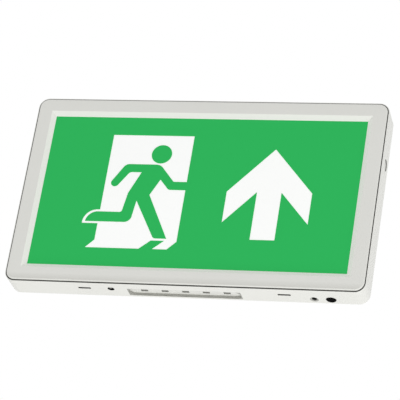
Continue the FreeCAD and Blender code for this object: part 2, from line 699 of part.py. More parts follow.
# ---- the cover's spring clips ------------------------------------------------------------------
def springClip(side, up):
    """One bent leaf: foot on the skirt, barb in the release slot, tail sprung back."""
    body = doc.addObject("PartDesign::Body", "clip")
    leaf = Profile(body, "YZ_Plane", f"({side})*{clipX} - clipWide/2")
    start = f"clipStart - {rim}"
    bend = f"skirtDeep + clipPast - {rim}"
    peak = "-slotFront"
    tail = "slotHigh/2 - slotFront"
    barb = "(tall/2 - clipReach)"
    outer = [
        (start, clipBase),
        (bend, clipBase),
        (peak, barb),
        (tail, f"({clipBase} + clipSpring)"),
        (f"{tail} - clipSheet", clipBase),
        (peak, f"({barb} - 2*clipSheet)"),
        (bend, f"({clipBase} - clipSheet)"),
        (start, f"({clipBase} - clipSheet)"),
    ]
    leaf.polygon([(across, f"({up})*{height}") for across, height in outer])
    pad(body, leaf, "clipWide")
    hole = Profile(body, "XY_Plane", f"({up})*{clipBase} - cut")
    hole.rectangle(f"({side})*{clipX}", f"-{pegFront}", "peg + 2*screwFit", "peg + 2*screwFit")
    pocket(body, hole, "2*cut", reverse=True)
    return body


def coverClips():
    node("cover_clips", group("cover_clips", [springClip(side, up) for side, up in CORNERS]))


# ---- legend ------------------------------------------------------------------------------------
# Outlines on a grid of 100 units to the window's height, from the window's centre.
DOOR = [
    (-57.5, 38), (-7.5, 38), (-7.5, -32.8), (-12.7, -38), (-21.7, -38), (-15.2, -32.4), (-23.1, -32.4),
    (-29.7, -38), (-62.6, -38), (-57.5, -32.8), (-57.5, -22), (-67.2, -22),
    ("arc", (-64.6, -15.1), (-58.6, -12.7)), (-57.5, -12.7)]
RUNNER = [
    (-44.2, 18.2), (-28.2, 18.2), ("arc", (-25.7, 17.8), (-23.8, 16.5)),            # shoulder
    (-15.6, 6.9), (-6.5, 6.9), (-6.5, 1.5), (-16.6, 1.5), ("arc", (-17.8, 1.7), (-18.8, 2.5)),  # front arm
    (-23.8, 8.2), (-28.9, -2.2), (-14, -30.9), (-20.6, -30.9), ("arc", (-22, -30.5), (-22.9, -29.4)),
    (-36.2, -6.2), (-37.4, -16.4), ("arc", (-38.6, -19.3), (-41.6, -20.6)),         # front leg, rear knee
    (-65.4, -20.6), ("arc", (-63.2, -16), (-58.7, -14.1)), (-45.4, -14.1),
    ("arc", (-44.4, -13.7), (-43.9, -12.8)), (-42.2, -1.3), (-36.1, 12.9),          # back
    (-42, 12.9), ("arc", (-43.1, 12.6), (-44, 11.9)), (-49.2, 4.3),                 # rear arm
    ("arc", (-52.2, 3.2), (-53.4, 6.9)), (-47.7, 16.3), ("arc", (-46.2, 17.7), (-44.2, 18.2))]
HEAD = (-25.7, 25.3)
HEAD_RADIUS = 6.2
ARROW = [
    (43.2, 30.2), (68.8, 1.3), (68.8, -19.2), (50.6, 1.3), (50.6, -30), (35.8, -30), (35.8, 1.3),
    (17.6, -19.2), (17.6, 1.3)]
GRID = 100


def gridPoint(point):
    unit = size(windowTall) / GRID
    return Vector(point[0] * unit, size("film + plate - depth"), point[1] * unit)


def gridFace(outline):
    """A flat face from an outline of corners and arcs; an arc is its middle and its end."""
    edges = []
    here = gridPoint(outline[0])
    for step in outline[1:] + [outline[0]]:
        if step[0] == "arc":
            there = gridPoint(step[2])
            edges.append(Part.Arc(here, gridPoint(step[1]), there).toShape())
        else:
            there = gridPoint(step)
            if here.isEqual(there, 1e-6):
                continue
            edges.append(Part.LineSegment(here, there).toShape())
        here = there
    return Part.Face(Part.Wire(edges))


def legendFilm():
    radius = HEAD_RADIUS * size(windowTall) / GRID
    head = Part.Face(Part.Wire(Part.makeCircle(radius, gridPoint(HEAD), Vector(0, 1, 0))))
    sideways = Vector(size(panelWide), 0, 0)
    upward = Vector(0, 0, size(panelTall))
    low = gridPoint((0, 0)) - (sideways + upward) / 2
    high = low + sideways + upward
    field = Part.Face(Part.makePolygon([low, low + sideways, high, low + upward, low]))
    door = gridFace(DOOR).cut(gridFace(RUNNER)).cut(head)
    outline = doc.addObject("Part::Feature", "legend_print")
    outline.Shape = field.cut(door).cut(gridFace(ARROW))
    film = doc.addObject("Part::Extrusion", "legend_film")
    film.Base = outline
    film.DirMode = "Custom"
    film.Dir = Vector(0, -1, 0)
    film.Solid = True
    bind(film, LengthFwd="film")
    node("legend_film", film)


# ---- light engine ------------------------------------------------------------------------------
def panelStack():
    node("opal_panel", block("opal_panel", "0", "plate + film + panel/2 - depth", "0", panelWide, "panel",
                             panelTall))
    node("light_guide", block("light_guide", "0", f"-{stripFront}", "0", guideWide, "guide", guideTall))
    node("reflector_sheet", block("reflector_sheet", "0", "guide + reflector/2 - guideFront", "0", guideWide,
                                  "reflector", guideTall))


def ledStrip(label, up):
    board = block("strip", "0", f"-{stripFront}", f"({up})*({stripZ} + stripBoard/2)",
                  f"{windowWide} - 2*stripInset", "stripWide", "stripBoard")
    node(f"led_strip_{label}", board)
    leds = []
    for index in range(int(size("stripCount"))):
        x = f"(({index})/(stripCount - 1) - 1/2)*({windowWide} - 2*ledEnd)"
        leds.append(block("led", x, f"-{stripFront}", f"({up})*({stripZ} - stripLed/2)", "stripLedLong",
                          "stripLedWide", "stripLed"))
    node(f"strip_leds_{label}", group(f"strip_leds_{label}", leds))


def gearTray():
    tray = newBody("gear_tray")
    reach = f"({stripZ} + stripBoard)"
    floor = Profile(tray, "XZ_Plane", trayRear)
    floor.rectangle("0", "0", guideWide, f"2*({reach} + sheetSteel)")
    pad(tray, floor, "sheetSteel")
    tabs = Profile(tray, "XZ_Plane", trayRear)
    left = f"({tabX} + bossRadius - keeperWall - fitGap)"
    right = f"({tabX} + tabWide/2)"
    for up in ENDS:
        tabs.rectangle(f"({right} - {left})/2", f"({up})*{tabZ}", f"{left} + {right}", "tabWide")
    pad(tray, tabs, "sheetSteel")
    flanges = Profile(tray, "XZ_Plane", trayRear)
    for up in ENDS:
        flanges.rectangle("0", f"({up})*({reach} + sheetSteel/2)", guideWide, "sheetSteel")
    pad(tray, flanges, f"flangeFront - {trayRear}")
    holes = Profile(tray, "XZ_Plane", f"{trayRear} - cut")
    for x, z in trayScrewPlaces:
        holes.circle(x, z, "pilot + screwClear")
    for side in ENDS:
        holes.rectangle(f"({side})*{windowWide}/4", tabZ, "trayPort", "trayPort")
    pocket(tray, holes, "sheetSteel + 2*cut", reverse=True)
    panScrews("tray_screws", trayScrewPlaces, trayFront, "screwLong")


def guideClip(side, up):
    """A clip that grips the light guide's edge and the tray's."""
    body = doc.addObject("PartDesign::Body", "guideClip")
    edge = f"{guideWide}/2"
    front = "(guideFront + layGap)"
    rear = f"({trayRear} - layGap)"
    jaw = Profile(body, "XY_Plane", f"({up})*{tabZ}/2 - clipWide/2")
    outline = [
        (f"{edge} - keeperWall", f"{front} + clipSheet"),
        (f"{edge} + layGap + clipSheet", f"{front} + clipSheet"),
        (f"{edge} + layGap + clipSheet", f"{rear} - clipSheet"),
        (f"{edge} - 2*keeperWall", f"{rear} - clipSheet"),
        (f"{edge} - 2*keeperWall", rear),
        (f"{edge} + layGap", rear),
        (f"{edge} + layGap", front),
        (f"{edge} - keeperWall", front),
    ]
    jaw.polygon([(f"({side})*({across})", f"0 - ({out})") for across, out in outline])
    pad(body, jaw, "clipWide")
    return body


def lightEngine():
    panelStack()
    ledStrip("top", 1)
    ledStrip("bottom", -1)
    gearTray()
    node("guide_clips", group("guide_clips", [guideClip(side, up) for side, up in CORNERS]))


# ---- downlight, sensor, charge LED and test button ----------------------------------------------
def downlight():
    blank = block("downBlank", "0", "-recessFront", f"{floorTop} + downBoard/2",
                  "recessLong - recessWide + 2*downInset", "recessWide - 2*downInset", "downBoard")
    holes = [block("pegHole", f"({side})*portPitch*1.5", "-recessFront", f"{floorTop} + downBoard/2",
                   "peg + 2*screwFit", "peg + 2*screwFit", "downBoard") for side in ENDS]
    node("downlight_board", without("downlight_board", blank, group("pegHoles", holes)))
    leds = []
    for index in range(int(size("portCount"))):
        leds.append(block("downLed", f"({index} - (portCount - 1)/2)*portPitch", "-recessFront",
                          f"{floorTop} - stripLed/2", "stripLedLong", "stripLedLong", "stripLed"))
    node("downlight_leds", group("downlight_leds", leds))


def lightSensor():
    collar = newBody("sensor_collar")
    bore = "sensorRadius - collarWall"
    ring = Profile(collar, "XY_Plane", f"{bottom} + sensorDeep").circle(sensorX, "-slotFront", "sensorRadius")
    ring.circle(sensorX, "-slotFront", bore)
    pad(collar, ring, "wall - sensorDeep + lipHigh")
    lip = Profile(collar, "XY_Plane", f"{bottom} + wall")
    lip.circle(sensorX, "-slotFront", "sensorRadius + collarLip")
    lip.circle(sensorX, "-slotFront", bore)
    pad(collar, lip, "lipHigh")
    face = f"{bottom} + sensorDeep + collarWall"
    node("sensor_window", rod("sensor_window", sensorX, "-slotFront", face, bore, "wall", "Z"))


def tactSwitch():
    """The switch lies on its board and faces down to the button; returns the height of its face."""
    low = f"({bottom} + wall + stemLong + plungerOut)"
    deep = f"(2*(controlFront - {switchFace}) - 2*layGap)"
    can = block("tactBlank", buttonX, "-controlFront", f"{low} + tactHigh/2", "tactSize", deep, "tactHigh")
    bore = rod("tactBore", buttonX, "-controlFront", f"{low} - cut", "plungerRadius + plungerGap",
               "cut + tactHigh - tactFloor", "Z")
    node("tact_switch", without("tact_switch", can, bore))
    plunger = rod("switch_plunger", buttonX, "-controlFront", f"{low} - plungerOut", "plungerRadius",
                  "plungerOut + tactHigh - tactFloor - buttonTravel - plungerRun", "Z")
    node("switch_plunger", plunger)


def testButton():
    cap = newBody("test_button")
    face = f"({bottom} - buttonProud)"
    disc = Profile(cap, "XY_Plane", face).circle(buttonX, "-controlFront", "buttonRadius")
    pad(cap, disc, "buttonProud + wall + flangeHigh/2")
    flange = Profile(cap, "XY_Plane", f"{bottom} + wall + fitGap")
    flange.circle(buttonX, "-controlFront", "buttonFlange")
    pad(cap, flange, "flangeHigh")
    stem = Profile(cap, "XY_Plane", f"{bottom} + wall").circle(buttonX, "-controlFront", "stemRadius")
    pad(cap, stem, "stemLong")
    dressEdges(cap, "Chamfer", "buttonChamfer", lambda edge: allAt(edge, 2, size(face)))


def chargeLed():
    """A lamp body with two leads that run up and back to the switch board."""
    tip = f"({bottom} + ledDeep)"
    nose = doc.addObject("Part::Cone", "ledNose")
    bind(nose, Radius1="ledTipRadius", Radius2="ledRadius", Height="ledNose", Placement_Base_x=ledX)
    bind(nose, Placement_Base_y="-controlFront", Placement_Base_z=tip)
    lens = rod("ledLens", ledX, "-controlFront", f"{tip} + ledNose", "ledRadius", "ledBody - ledNose", "Z")
    foot = rod("ledFoot", ledX, "-controlFront", f"{tip} + ledBody", "ledRadius + ledRing", "ledFoot", "Z")
    top = f"({tip} + ledBody + ledFoot)"
    parts = [nose, lens, foot]
    for side in ENDS:
        x = f"{ledX} + ({side})*ledPitch/2"
        parts.append(block("ledLead", x, "-controlFront", f"{top} + (ledRise - root)/2", "ledWire", "ledWire",
                           "ledRise + root"))
        parts.append(block("ledTurn", x, f"-({switchFace} + controlFront + ledWire/2)/2", f"{top} + ledRise",
                           "ledWire", f"controlFront + ledWire/2 - {switchFace}", "ledWire"))
    node("charge_led", fused("charge_led", parts))


def bottomControls():
    downlight()
    lightSensor()
    drilledBoard("switch_board", (switchX, switchZ), ("switchBoardWide", "switchBoardTall"), switchFace,
                 switchScrewPlaces)
    tactSwitch()
    testButton()
    chargeLed()


# ---- mains side, driver and battery -------------------------------------------------------------
def drilledBoard(label, centre, spans, face, places):
    """A circuit board with its face that far from the wall, and the screws that hold it."""
    blank = block(label + "_blank", centre[0], f"board/2 - {face}", centre[1], spans[0], "board", spans[1])
    drills = [rod(label + "_hole", x, f"-{face}", z, "pilot + screwClear", "board", "Y") for x, z in places]
    node(label, without(label, blank, group(label + "_holes", drills)))
    panScrews(label + "_screws", places, face, f"{face} - screwShort")


def cableGrommet():
    grommet = newBody("cable_grommet")
    neck = Profile(grommet, "XZ_Plane", "grommetBack").circle("0", entryZ, "entryRadius")
    neck.circle("0", entryZ, "cableRadius")
    pad(grommet, neck, "backWall - grommetBack + grommetLip/2")
    lip = Profile(grommet, "XZ_Plane", "backWall").circle("0", entryZ, "entryRadius + grommetLip")
    lip.circle("0", entryZ, "cableRadius")
    pad(grommet, lip, "grommetLip")


def terminalBlock():
    """A block with a row of ways, each with a wire way through it and a screw in a square well."""
    shell = block("blockShell", blockX, "-backWall - blockHigh/2", entryZ, "blockWide", "blockHigh",
                  "blockTall")
    cuts = []
    screws = []
    deep = "(blockHigh - wayFloor)"
    for index in range(int(size("wayCount"))):
        x = f"{blockX} + (({index} + 0.5)/wayCount - 0.5)*blockWide"
        cuts.append(block("screwWell", x, f"-backWall - wayFloor - ({deep} + cut)/2", entryZ, "wellWide",
                          f"{deep} + cut", "wellWide"))
        cuts.append(block("wireWay", x, "-backWall - wayFloor - wayWide/2", entryZ, "wayWide", "wayWide",
                          "blockTall + 2*cut"))
        if index:
            cuts.append(block("wayGap", f"{x} - blockWide/(2*wayCount)",
                              f"-backWall - blockHigh + ({deep} - cut)/2", entryZ, "wayGap", f"{deep} + cut",
                              "blockTall + 2*cut"))
        screws.append(rod("wayScrew", x, "-backWall - wayFloor", entryZ, "wayScrew", "wayScrewHigh", "-Y"))
    node("terminal_block", without("terminal_block", shell, fused("blockCuts", cuts)))
    node("terminal_screws", group("terminal_screws", screws))


# Parts on the driver board: how far along and up the board their centres are, then their sizes.
SOCKETS = [
    (-0.3, 0.4, "plugWide", "plugTall"), (0.02, 0.42, "plugMiddle", "plugSmall"),
    (0.32, 0.42, "plugMiddle", "plugSmall"), (-0.46, -0.15, "plugSmall", "plugMiddle")]
CHIPS = [
    (0.3, 0.06, "chipWide", "chipTall"), (-0.1, 0.1, "chipWide", "chipTall"),
    (0.41, 0.12, "chipTall", "chipTall")]
TRANSFORMER = (0.1, 0)
CANS = [(-0.1, -0.22), (0.34, -0.25)]
CHOKE = (-0.3, -0.2)
FUSE = (-0.32, 0.06)


def onBoard(place):
    return f"{boardX} + ({place[0]})*{boardWide}", f"{boardZ} + ({place[1]})*boardTall"


def blocksOnBoard(label, table, high):
    parts = []
    for across, up, wide, tall in table:
        x, z = onBoard((across, up))
        parts.append(block(label + "_one", x, f"-{boardFace} - {high}/2", z, wide, high, tall))
    node(label, group(label, parts))


def driver():
    drilledBoard("driver_board", (boardX, boardZ), (boardWide, "boardTall"), boardFace, boardScrewPlaces)
    room = f"({trayRear} - {boardFace} - boardRoom)"
    x, z = onBoard(TRANSFORMER)
    coil = block("coil", x, f"-{boardFace} - {room}/2", z, "coilWide", room, "coilTall")
    core = block("core", x, f"-{boardFace} - ({room} - coreShort)/2", z, "coreWide", f"{room} - coreShort",
                 "coreTall")
    node("transformer", fused("transformer", [coil, core]))
    cans = []
    for place in CANS:
        x, z = onBoard(place)
        cans.append(rod("can", f"{x} - canLong/2", f"-{boardFace} - canRadius", z, "canRadius", "canLong",
                        "X"))
    node("capacitors", group("capacitors", cans))
    x, z = onBoard(CHOKE)
    node("choke", rod("choke", x, f"-{boardFace}", z, "chokeRadius", "chokeHigh", "-Y"))
    x, z = onBoard(FUSE)
    node("fuse", rod("fuse", f"{x} - fuseLong/2", f"-{boardFace} - fuseRadius", z, "fuseRadius", "fuseLong",
                     "X"))
    blocksOnBoard("board_sockets", SOCKETS, "plugHigh")
    blocksOnBoard("board_chips", CHIPS, "chipHigh")


def batteryPack():
    """Cells end to end in one shrink wrap, waisted between them."""
    left = f"{batteryX} - {batteryLong}/2"
    wrap = rod("wrap", f"{left} + cellNeck", batteryY, batteryZ, "cellRadius - cellNeck",
               f"{batteryLong} - 2*cellNeck", "X")
    cells = [wrap]
    for index in range(int(size("cellCount"))):
        cells.append(rod("cell", f"{left} + ({index})*(cellLong + 2*cellNeck)", batteryY, batteryZ,
                         "cellRadius", "cellLong", "X"))
    node("battery_pack", fused("battery_pack", cells))


rearHousing()
frontCover()
coverClips()
legendFilm()
lightEngine()
bottomControls()
cableGrommet()
terminalBlock()
driver()
batteryPack()
doc.recompute()

broken = [thing.Label for thing in doc.Objects if "Invalid" in thing.State or "Error" in thing.State]
if broken:
    raise SystemExit(f"these objects failed: {broken}")
os.makedirs("parts", exist_ok=True)
for label, thing in nodes.items():
    shape = thing.Shape
    if shape.isNull() or not shape.isValid():
        raise SystemExit(f"{label} has no valid shape")
    box = shape.BoundBox
    print(f"{label:22s} solids {len(shape.Solids):3d} faces {len(shape.Faces):4d} volume {shape.Volume:9.1f}"
          f"  x {box.XMin:7.1f} {box.XMax:7.1f}  y {box.YMin:6.1f} {box.YMax:6.1f}"
          f"  z {box.ZMin:6.1f} {box.ZMax:6.1f}")
    shape.exportStep(os.path.join("parts", label + ".step"))
print(len(nodes), "nodes")
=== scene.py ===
import math
import bmesh
import bpy
from mathutils import Matrix, Vector


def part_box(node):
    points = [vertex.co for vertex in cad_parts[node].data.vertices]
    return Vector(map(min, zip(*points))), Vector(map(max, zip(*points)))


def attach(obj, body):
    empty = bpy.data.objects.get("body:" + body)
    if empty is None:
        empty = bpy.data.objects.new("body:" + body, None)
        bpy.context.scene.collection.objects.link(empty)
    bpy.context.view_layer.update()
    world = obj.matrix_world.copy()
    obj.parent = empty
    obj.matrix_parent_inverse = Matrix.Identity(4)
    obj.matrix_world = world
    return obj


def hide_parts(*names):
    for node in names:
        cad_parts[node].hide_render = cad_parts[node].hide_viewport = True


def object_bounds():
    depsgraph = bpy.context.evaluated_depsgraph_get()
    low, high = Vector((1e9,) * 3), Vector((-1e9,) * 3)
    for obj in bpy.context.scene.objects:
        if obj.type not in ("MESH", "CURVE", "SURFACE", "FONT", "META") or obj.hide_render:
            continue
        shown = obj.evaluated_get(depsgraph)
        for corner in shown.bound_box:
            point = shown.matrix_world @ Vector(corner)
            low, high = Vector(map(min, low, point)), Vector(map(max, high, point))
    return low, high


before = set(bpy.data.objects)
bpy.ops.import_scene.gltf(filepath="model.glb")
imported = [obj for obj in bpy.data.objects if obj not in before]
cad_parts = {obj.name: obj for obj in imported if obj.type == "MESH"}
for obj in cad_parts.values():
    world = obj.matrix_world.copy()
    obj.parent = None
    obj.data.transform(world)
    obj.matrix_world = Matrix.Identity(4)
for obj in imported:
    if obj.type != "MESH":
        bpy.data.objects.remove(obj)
cadLow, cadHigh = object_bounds()
print("frame loaded with", len(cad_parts), "nodes")


# one value in a node tree, so that maths on it reads as maths
class Link:
    def __init__(self, web, socket):
        self.web = web
        self.socket = socket

    def join(self, operation, other=0.0, flip=False):
        pair = (other, self) if flip else (self, other)
        return self.web.add("ShaderNodeMath", {"operation": operation}, {0: pair[0], 1: pair[1]})

    def __add__(self, other):
        return self.join("ADD", other)

    def __sub__(self, other):
        return self.join("SUBTRACT", other)

    def __mul__(self, other):
        return self.join("MULTIPLY", other)

    def __radd__(self, other):
        return self.join("ADD", other, True)

    def __rsub__(self, other):
        return self.join("SUBTRACT", other, True)

    def __rmul__(self, other):
        return self.join("MULTIPLY", other, True)

    def below(self, limit):
        return self.join("LESS_THAN", limit)

    def awayFrom(self, place):
        return (self - place).join("ABSOLUTE")


# a colour written 0 to 255 as the eye reads it, as Blender's own
def linear(color):
    return tuple(c / 255 / 12.92 if c <= 10 else ((c / 255 + 0.055) / 1.055) ** 2.4 for c in color) + (1.0,)


def shade(color, factor):
    return linear([min(255, max(0, c * factor)) for c in color])


# a node tree and the one way that nodes are added to it; a list of links goes into one socket together
class Web:
    def __init__(self, tree):
        self.tree = tree

    def add(self, kind, settings, inputs, output=0):
        node = self.tree.nodes.new(kind)
        for key, value in settings.items():
            setattr(node, key, value)
        for key, value in inputs.items():
            for part in value if isinstance(value, list) else [value]:
                if isinstance(part, Link):
                    self.tree.links.new(part.socket, node.inputs[key])
                else:
                    node.inputs[key].default_value = part
        return Link(self, node.outputs[output])

    # the output of one of the nodes that the tree came with
    def own(self, node):
        return Link(self, self.tree.nodes[node].outputs[0])

    def show(self, link, node):
        self.tree.links.new(link.socket, self.tree.nodes[node].inputs["Surface"])


class Finish(Web):
    def __init__(self, name, color, constants):
        self.material = bpy.data.materials.new(name)
        self.material.use_nodes = True
        super().__init__(self.material.node_tree)
        self.shader = self.tree.nodes["Principled BSDF"]
        self.shader.inputs["Base Color"].default_value = linear(color)
        for socket, value in constants.items():
            self.shader.inputs[socket].default_value = value
        self.place = self.add("ShaderNodeTexCoord", {}, {}, "Object")

    def noise(self, scale, detail=2.0, vector=None):
        spot = vector or self.place
        return self.add("ShaderNodeTexNoise", {}, {"Vector": spot, "Scale": scale, "Detail": detail})

    def stretched(self, factors):
        return self.add("ShaderNodeVectorMath", {"operation": "MULTIPLY"}, {0: self.place, 1: factors})

    def along(self, axis):
        return self.add("ShaderNodeSeparateXYZ", {}, {0: self.place}, "XYZ".index(axis))

    # 1 inside a box given by its centre and half sizes; a half size of 0 leaves that axis free
    def inside(self, centre, half):
        mask = 1.0
        for axis, middle, reach in zip("XYZ", centre, half):
            if reach:
                mask = self.along(axis).awayFrom(middle).below(reach) * mask
        return mask

    # 1 in a border of the sign's rounded outline
    def nearOutline(self, corner, border):
        past = []
        for axis, low, high in (("X", cadLow[0], cadHigh[0]), ("Z", cadLow[2], cadHigh[2])):
            away = self.along(axis).awayFrom((low + high) / 2)
            past.append((away - ((high - low) / 2 - corner)).join("MAXIMUM"))
        return 1 - (past[0] * past[0] + past[1] * past[1]).below((corner - border) ** 2)

    # 1 inside an upright round hole, from its mouth to its end
    def insideHole(self, x, y, radius, mouth, end):
        across = self.along("X") - x
        deep = self.along("Y") - y
        within = self.along("Z").awayFrom((mouth + end) / 2).below((end - mouth) / 2)
        return (across * across + deep * deep).below(radius * radius) * within

    def between(self, mask, first, second):
        return self.add("ShaderNodeMix", {"data_type": "RGBA"}, {0: mask, 6: first, 7: second}, 2)

    def feed(self, socket, link):
        self.tree.links.new(link.socket, self.shader.inputs[socket])

    # roughness that a pattern of 0 to 1 spreads evenly round its middle
    def roughen(self, middle, spread, pattern):
        self.feed("Roughness", middle - spread / 2 + pattern * spread)

    def bump(self, height, distance):
        self.feed("Normal", self.add("ShaderNodeBump", {}, {"Height": height, "Distance": distance}))


plastic = {"cloud": 14, "cloudDetail": 3, "mottle": 0.012, "roughSpread": 0.12}


# satin moulded plastic with a fine spark texture; an optional list of masks and colours paints some of its places,
# with colours of their own and with painted light and shade
def mouldedPlastic(name, color, rough, grain, depth=0.00002, specular=0.5, marksAndShade=None):
    finish = Finish(name, color, {"Specular IOR Level": specular})
    cloud = finish.noise(plastic["cloud"], plastic["cloudDetail"])
    tint = finish.between(cloud, shade(color, 1 - plastic["mottle"]), shade(color, 1 + plastic["mottle"]))
    for mask, mark in marksAndShade(finish) if marksAndShade else []:
        tint = finish.between(mask, tint, linear(mark))
    finish.feed("Base Color", tint)
    spark = finish.noise(grain)
    finish.roughen(rough, plastic["roughSpread"], spark)
    finish.bump(spark, depth)
    return finish.material


ink = {"mesh": 3800, "cloud": 6, "mottle": 0.008, "roughSpread": 0.08, "depth": 0.000008, "specular": 0.06}


# ink on film with the sign's own light behind it
def litPrint(name, color, glow, rough=0.6):
    finish = Finish(name, color, {"Specular IOR Level": ink["specular"], "Emission Strength": glow})
    mesh = finish.noise(ink["mesh"], 1)
    cloud = finish.noise(ink["cloud"])
    tint = finish.between(cloud, shade(color, 1 - ink["mottle"]), shade(color, 1 + ink["mottle"]))
    finish.feed("Base Color", tint)
    finish.feed("Emission Color", tint)
    finish.roughen(rough, ink["roughSpread"], mesh)
    finish.bump(mesh, ink["depth"])
    return finish.material


metal = {"across": 1200, "along": 30, "dark": 0.93, "light": 1.05, "roughSpread": 0.16, "depth": 0.00001}


# rolled or plated metal with faint drawing lines that run from the sign's front to its back
def sheetMetal(name, color, rough):
    finish = Finish(name, color, {"Metallic": 1.0})
    lines = finish.noise(1.0, 3, finish.stretched((metal["across"], metal["along"], metal["across"])))
    finish.feed("Base Color", finish.between(lines, shade(color, metal["dark"]), shade(color, metal["light"])))
    finish.roughen(rough, metal["roughSpread"], lines)
    finish.bump(lines, metal["depth"])
    return finish.material


board = {
    "cells": 160.0, "track": 0.12, "lift": 1.25, "weave": 1800,
    "rough": 0.36, "roughSpread": 0.12, "depth": 0.00002,
}


# solder mask over copper tracks, with a fine weave under it
def circuitBoard(name, color):
    finish = Finish(name, color, {})
    cells = finish.add("ShaderNodeTexVoronoi", {"feature": "DISTANCE_TO_EDGE", "distance": "CHEBYCHEV"},
                       {"Vector": finish.place, "Scale": board["cells"]})
    tracks = cells.below(board["track"])
    weave = finish.noise(board["weave"])
    finish.feed("Base Color", finish.between(tracks, linear(color), shade(color, board["lift"])))
    finish.roughen(board["rough"], board["roughSpread"], weave)
    finish.bump(tracks, board["depth"])
    return finish.material


guide = {
    "color": (246, 249, 248), "glow": 0.25, "reach": 0.079, "dotPitch": 0.006, "dotSmall": 0.14, "dotLarge": 0.36,
    "between": 0.9, "haze": 9, "rough": 0.075, "roughSpread": 0.05,
}


# polished acrylic over a white sheet, its printed dots growing away from the lamps
def dottedAcrylic(name):
    color = guide["color"]
    finish = Finish(name, color, {"Emission Strength": guide["glow"]})
    middle = 1 - finish.along("Z").join("ABSOLUTE") * (1 / guide["reach"])
    cells = [(finish.along(axis) * (1 / guide["dotPitch"])).join("FRACT") - 0.5 for axis in "XZ"]
    radius = guide["dotSmall"] + middle * (guide["dotLarge"] - guide["dotSmall"])
    dots = (cells[0] * cells[0] + cells[1] * cells[1]).below(radius * radius)
    tint = finish.between(dots, shade(color, guide["between"]), linear(color))
    finish.feed("Base Color", tint)
    finish.feed("Emission Color", tint)
    finish.roughen(guide["rough"], guide["roughSpread"], finish.noise(guide["haze"]))
    return finish.material


def middleOf(node):
    low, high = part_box(node)
    return [(first + second) / 2 for first, second in zip(low, high)]


moulding = {"rough": 0.46, "grain": 2600, "corner": 0.01, "bezel": (7, 7, 7)}
# the joint's colour is painted shade, laid on a band round the cover's rear and the housing's rim
joint = {"paintedShade": (104, 104, 100), "wide": 0.001, "deep": 0.0022, "halfTall": 0.0018, "clear": 0.00005}
lid = {"inset": 0.00155, "shoulder": 0.0009, "rim": 0.0015, "skin": 0.00001}
lip = {
    "wide": 0.0008, "proud": 0.0024, "sunk": 0.0001, "round": 0.0004, "roundShare": 0.3, "draft": 0.00002,
    "steps": 12,
}
bottomZ = cadLow[2]
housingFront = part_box("rear_housing")[0][1]
coverBack = housingFront - joint["wide"]   # rear of the cover's frame, behind the shadow joint


# painted shade: the joint between the cover and the housing is painted dark, where shade falls in it
def jointShade(finish):
    band = finish.inside((0, coverBack, 0), (0, joint["halfTall"], 0))
    outer = finish.nearOutline(moulding["corner"], lip["wide"] - joint["clear"])
    return band * finish.nearOutline(moulding["corner"], joint["deep"]) * (1 - outer), joint["paintedShade"]


cover = {
    # the bevel colour is a painted highlight, and the lower bar's colour is painted shade towards its edge
    "color": (233, 233, 228), "bevel": (246, 246, 241), "sideBar": 0.0145, "endBar": 0.01425, "bevelDeep": 0.003,
    "shadedBar": (215, 215, 209), "fadeTall": 0.009, "fadeReach": 0.007, "faceSkin": 0.00012,
}


# painted light and shade: the window's bevel is painted paler than the grained frame, a painted highlight, and the
# frame's lower bar is painted darker towards its bottom edge, a painted shade
def coverLightAndShade(finish):
    bevel = finish.inside((0, cadLow[1], 0), (
        cadHigh[0] - cover["sideBar"], cover["bevelDeep"], cadHigh[2] - cover["endBar"]))
    face = finish.inside((0, cadLow[1], 0), (0, cover["faceSkin"], 0))
    # painted shade: the lower bar's front face darkens towards its bottom edge
    fade = (cadLow[2] + cover["fadeTall"] - finish.along("Z")) * (1 / cover["fadeReach"])
    fade = fade.join("MAXIMUM").join("MINIMUM", 1.0) * face
    return [(fade, cover["shadedBar"]), (bevel, cover["bevel"]), jointShade(finish)]


# places are measured from the wall's middle, or up from the housing's bottom face
housing = {
    "color": (240, 240, 235),
    # the wall colours below are painted shade on the walls of the housing's hollows
    "recessShade": (170, 170, 164), "recessHalf": (0.0532, 0.0066), "recessRoof": 0.0015, "recessClear": 0.0001,
    "portShade": (170, 170, 165), "portHalf": (0.0534, 0.0040, 0.0007),
    "slotShade": (62, 62, 60), "slotX": 0.0935, "slotY": -0.0153, "slotUp": 0.0025,
    "slotHalf": (0.0062, 0.0017, 0.0016),
    "sinkShade": (184, 184, 178), "sinkRadius": 0.0041, "sinkMouth": 0.0005, "sinkEnd": 0.003,
    "boreRadius": 0.00225, "boreEnd": 0.004, "collarRadius": 0.0032, "collarEnd": 0.003,
    "knockShade": (70, 70, 68), "knockX": 0.1684, "knockY": -0.012, "knockZ": 0.0396,
    "knockInner": 0.00519615, "knockOuter": 0.00553173, "knockHalf": 0.0005,
}


